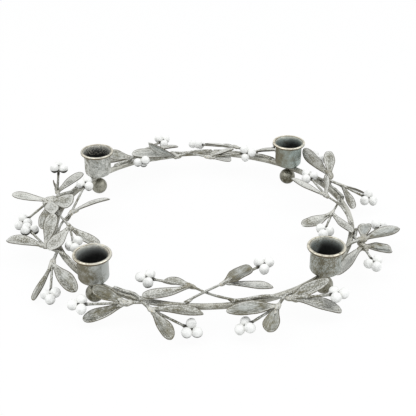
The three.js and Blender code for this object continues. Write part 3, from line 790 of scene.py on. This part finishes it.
def berry_white():
    """White lacquer, a little thin and grey in places, greyer towards its lower edge as painted shade, over
    dark metal.
    """
    material, where = bare_material("berry_white")
    clouds = where.noise(where, 240, 2)
    grit = where.noise(where, 1500, 2)
    lacquer = where.mark("lacquer")
    covered = ((lacquer + clouds * 0.4) * 5 + 0.5).clip()
    # Painted shade: the lacquer is made greyer the lower it lies on the ball, besides where it is thin
    thick = (lacquer * 0.8 + clouds * 2.2 + grit - where.mark("thin") + 0.1).clip()
    bump = where.node("Bump", {}, {"Strength": 0.25, "Distance": 0.0003, "Height": grit + clouds})
    shader = where.node("BsdfPrincipled", {}, {
        "Base Color": covered.blend(BERRY_BARE, thick.blend(BERRY_SHADE, BERRY_WHITE)),
        "Roughness": 0.75 - covered * 0.3 + clouds * 0.2,
        "Specular IOR Level": 0.25,
        "Normal": bump,
    })
    where.node("OutputMaterial", {}, {"Surface": shader})
    return material


berry_finish = berry_white()
for side, rows in SPRIGS.items():
    for number, (_, _, node, berries, _) in enumerate(rows, 1):
        name = f"{side}_{number}"
        middle = place(*berries[:3])
        along = unit(middle - place(*node))
        level = turn_about(along, unit(np.cross(along, (0, 0, 1))), berries[3])
        lengthwise = np.cross(along, level) if name in CROWNS else along
        angles = np.radians([0, 120, 240])
        centres = [middle + BERRY_REACH * (lengthwise * np.cos(a) + level * np.sin(a)) for a in angles]
        balls = [berry(centre, number + 2 * k) for k, centre in enumerate(centres)]
        bare_below = BARE_BELOW.get(name, USUAL_BARE + 0.12 * np.sin(5 * number + len(side)))
        lacquer = [facing - bare_below for _, facing in balls]
        thin = [np.full(facing.shape, BERRY_THIN.get(name, 0)) for _, facing in balls]
        cluster = skin(f"berry_cluster_{name}", [grid for grid, _ in balls], berry_finish,
                       {"lacquer": lacquer, "thin": thin})
        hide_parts(f"berries_{name}")


# Studio: a plain floor and sky that are white to the camera and in the metal, a broad soft light above on
# each side, and the camera where the photograph was taken from.
FLOOR_REACH = 4
FLOOR_HEIGHT = -0.0002
FLOOR_WHITE = 0.95


def background_rays(finish):
    """1 for a ray that comes from the camera, a mirror or glass, so that all of these see the same white."""
    rays = ("Camera", "Glossy", "Transmission")
    return sum(finish.node("LightPath", {}, {}, f"Is {ray} Ray") for ray in rays)


corner_signs = ((-1, -1), (1, -1), (1, 1), (-1, 1))
floor_corners = [(x * FLOOR_REACH, y * FLOOR_REACH, FLOOR_HEIGHT) for x, y in corner_signs]
floor_mesh = bpy.data.meshes.new("studio_floor")
floor_mesh.from_pydata(floor_corners, [], [(0, 1, 2, 3)])
floor = bpy.data.objects.new("studio_floor", floor_mesh)
bpy.context.scene.collection.objects.link(floor)
floor_white, where = bare_material("floor_white")
seen = background_rays(where)
shadowed = where.node("BsdfDiffuse", {}, {"Color": (0.9, 0.9, 0.9, 1)})
lit = where.node("Emission", {}, {"Color": (1, 1, 1, 1), "Strength": 1})
mixed = where.node("MixShader", {}, {0: (seen * FLOOR_WHITE).clip(), 1: shadowed, 2: lit})
where.node("OutputMaterial", {}, {"Surface": mixed})
floor_mesh.materials.append(floor_white)

world = bpy.data.worlds.new("studio")
world.use_nodes = True
world.node_tree.nodes.clear()
sky = Finish(world.node_tree)
seen = background_rays(sky).clip()
soft = sky.node("Background", {}, {"Color": (0.95, 0.97, 1, 1), "Strength": 0.9})
white = sky.node("Background", {}, {"Color": (1, 1, 1, 1), "Strength": 1})
mixed = sky.node("MixShader", {}, {0: seen, 1: soft, 2: white})
sky.node("OutputWorld", {}, {"Surface": mixed})
bpy.context.scene.world = world

for name, spot, turn, size, power in (
    ("left_light", (-0.65, -0.15, 1), (8, -33, 0), 0.7, 3),
    ("right_light", (0.7, -0.15, 0.95), (8, 36, 0), 0.7, 2.6),
):
    light = bpy.data.lights.new(name, "AREA")
    light.size = size
    light.energy = power
    lamp = bpy.data.objects.new(name, light)
    lamp.location = spot
    lamp.rotation_euler = np.radians(turn)
    bpy.context.scene.collection.objects.link(lamp)

camera_data = bpy.data.cameras.new("camera")
camera_data.sensor_width = 36
camera_data.lens = 79.11
camera = bpy.data.objects.new("camera", camera_data)
camera.location = (-0.0522, -0.6669, 0.4165)
camera.rotation_euler = np.radians((59.86, 0, -4.8))
bpy.context.scene.collection.objects.link(camera)
bpy.context.scene.camera = camera
bpy.context.scene.view_settings.view_transform = "Standard"
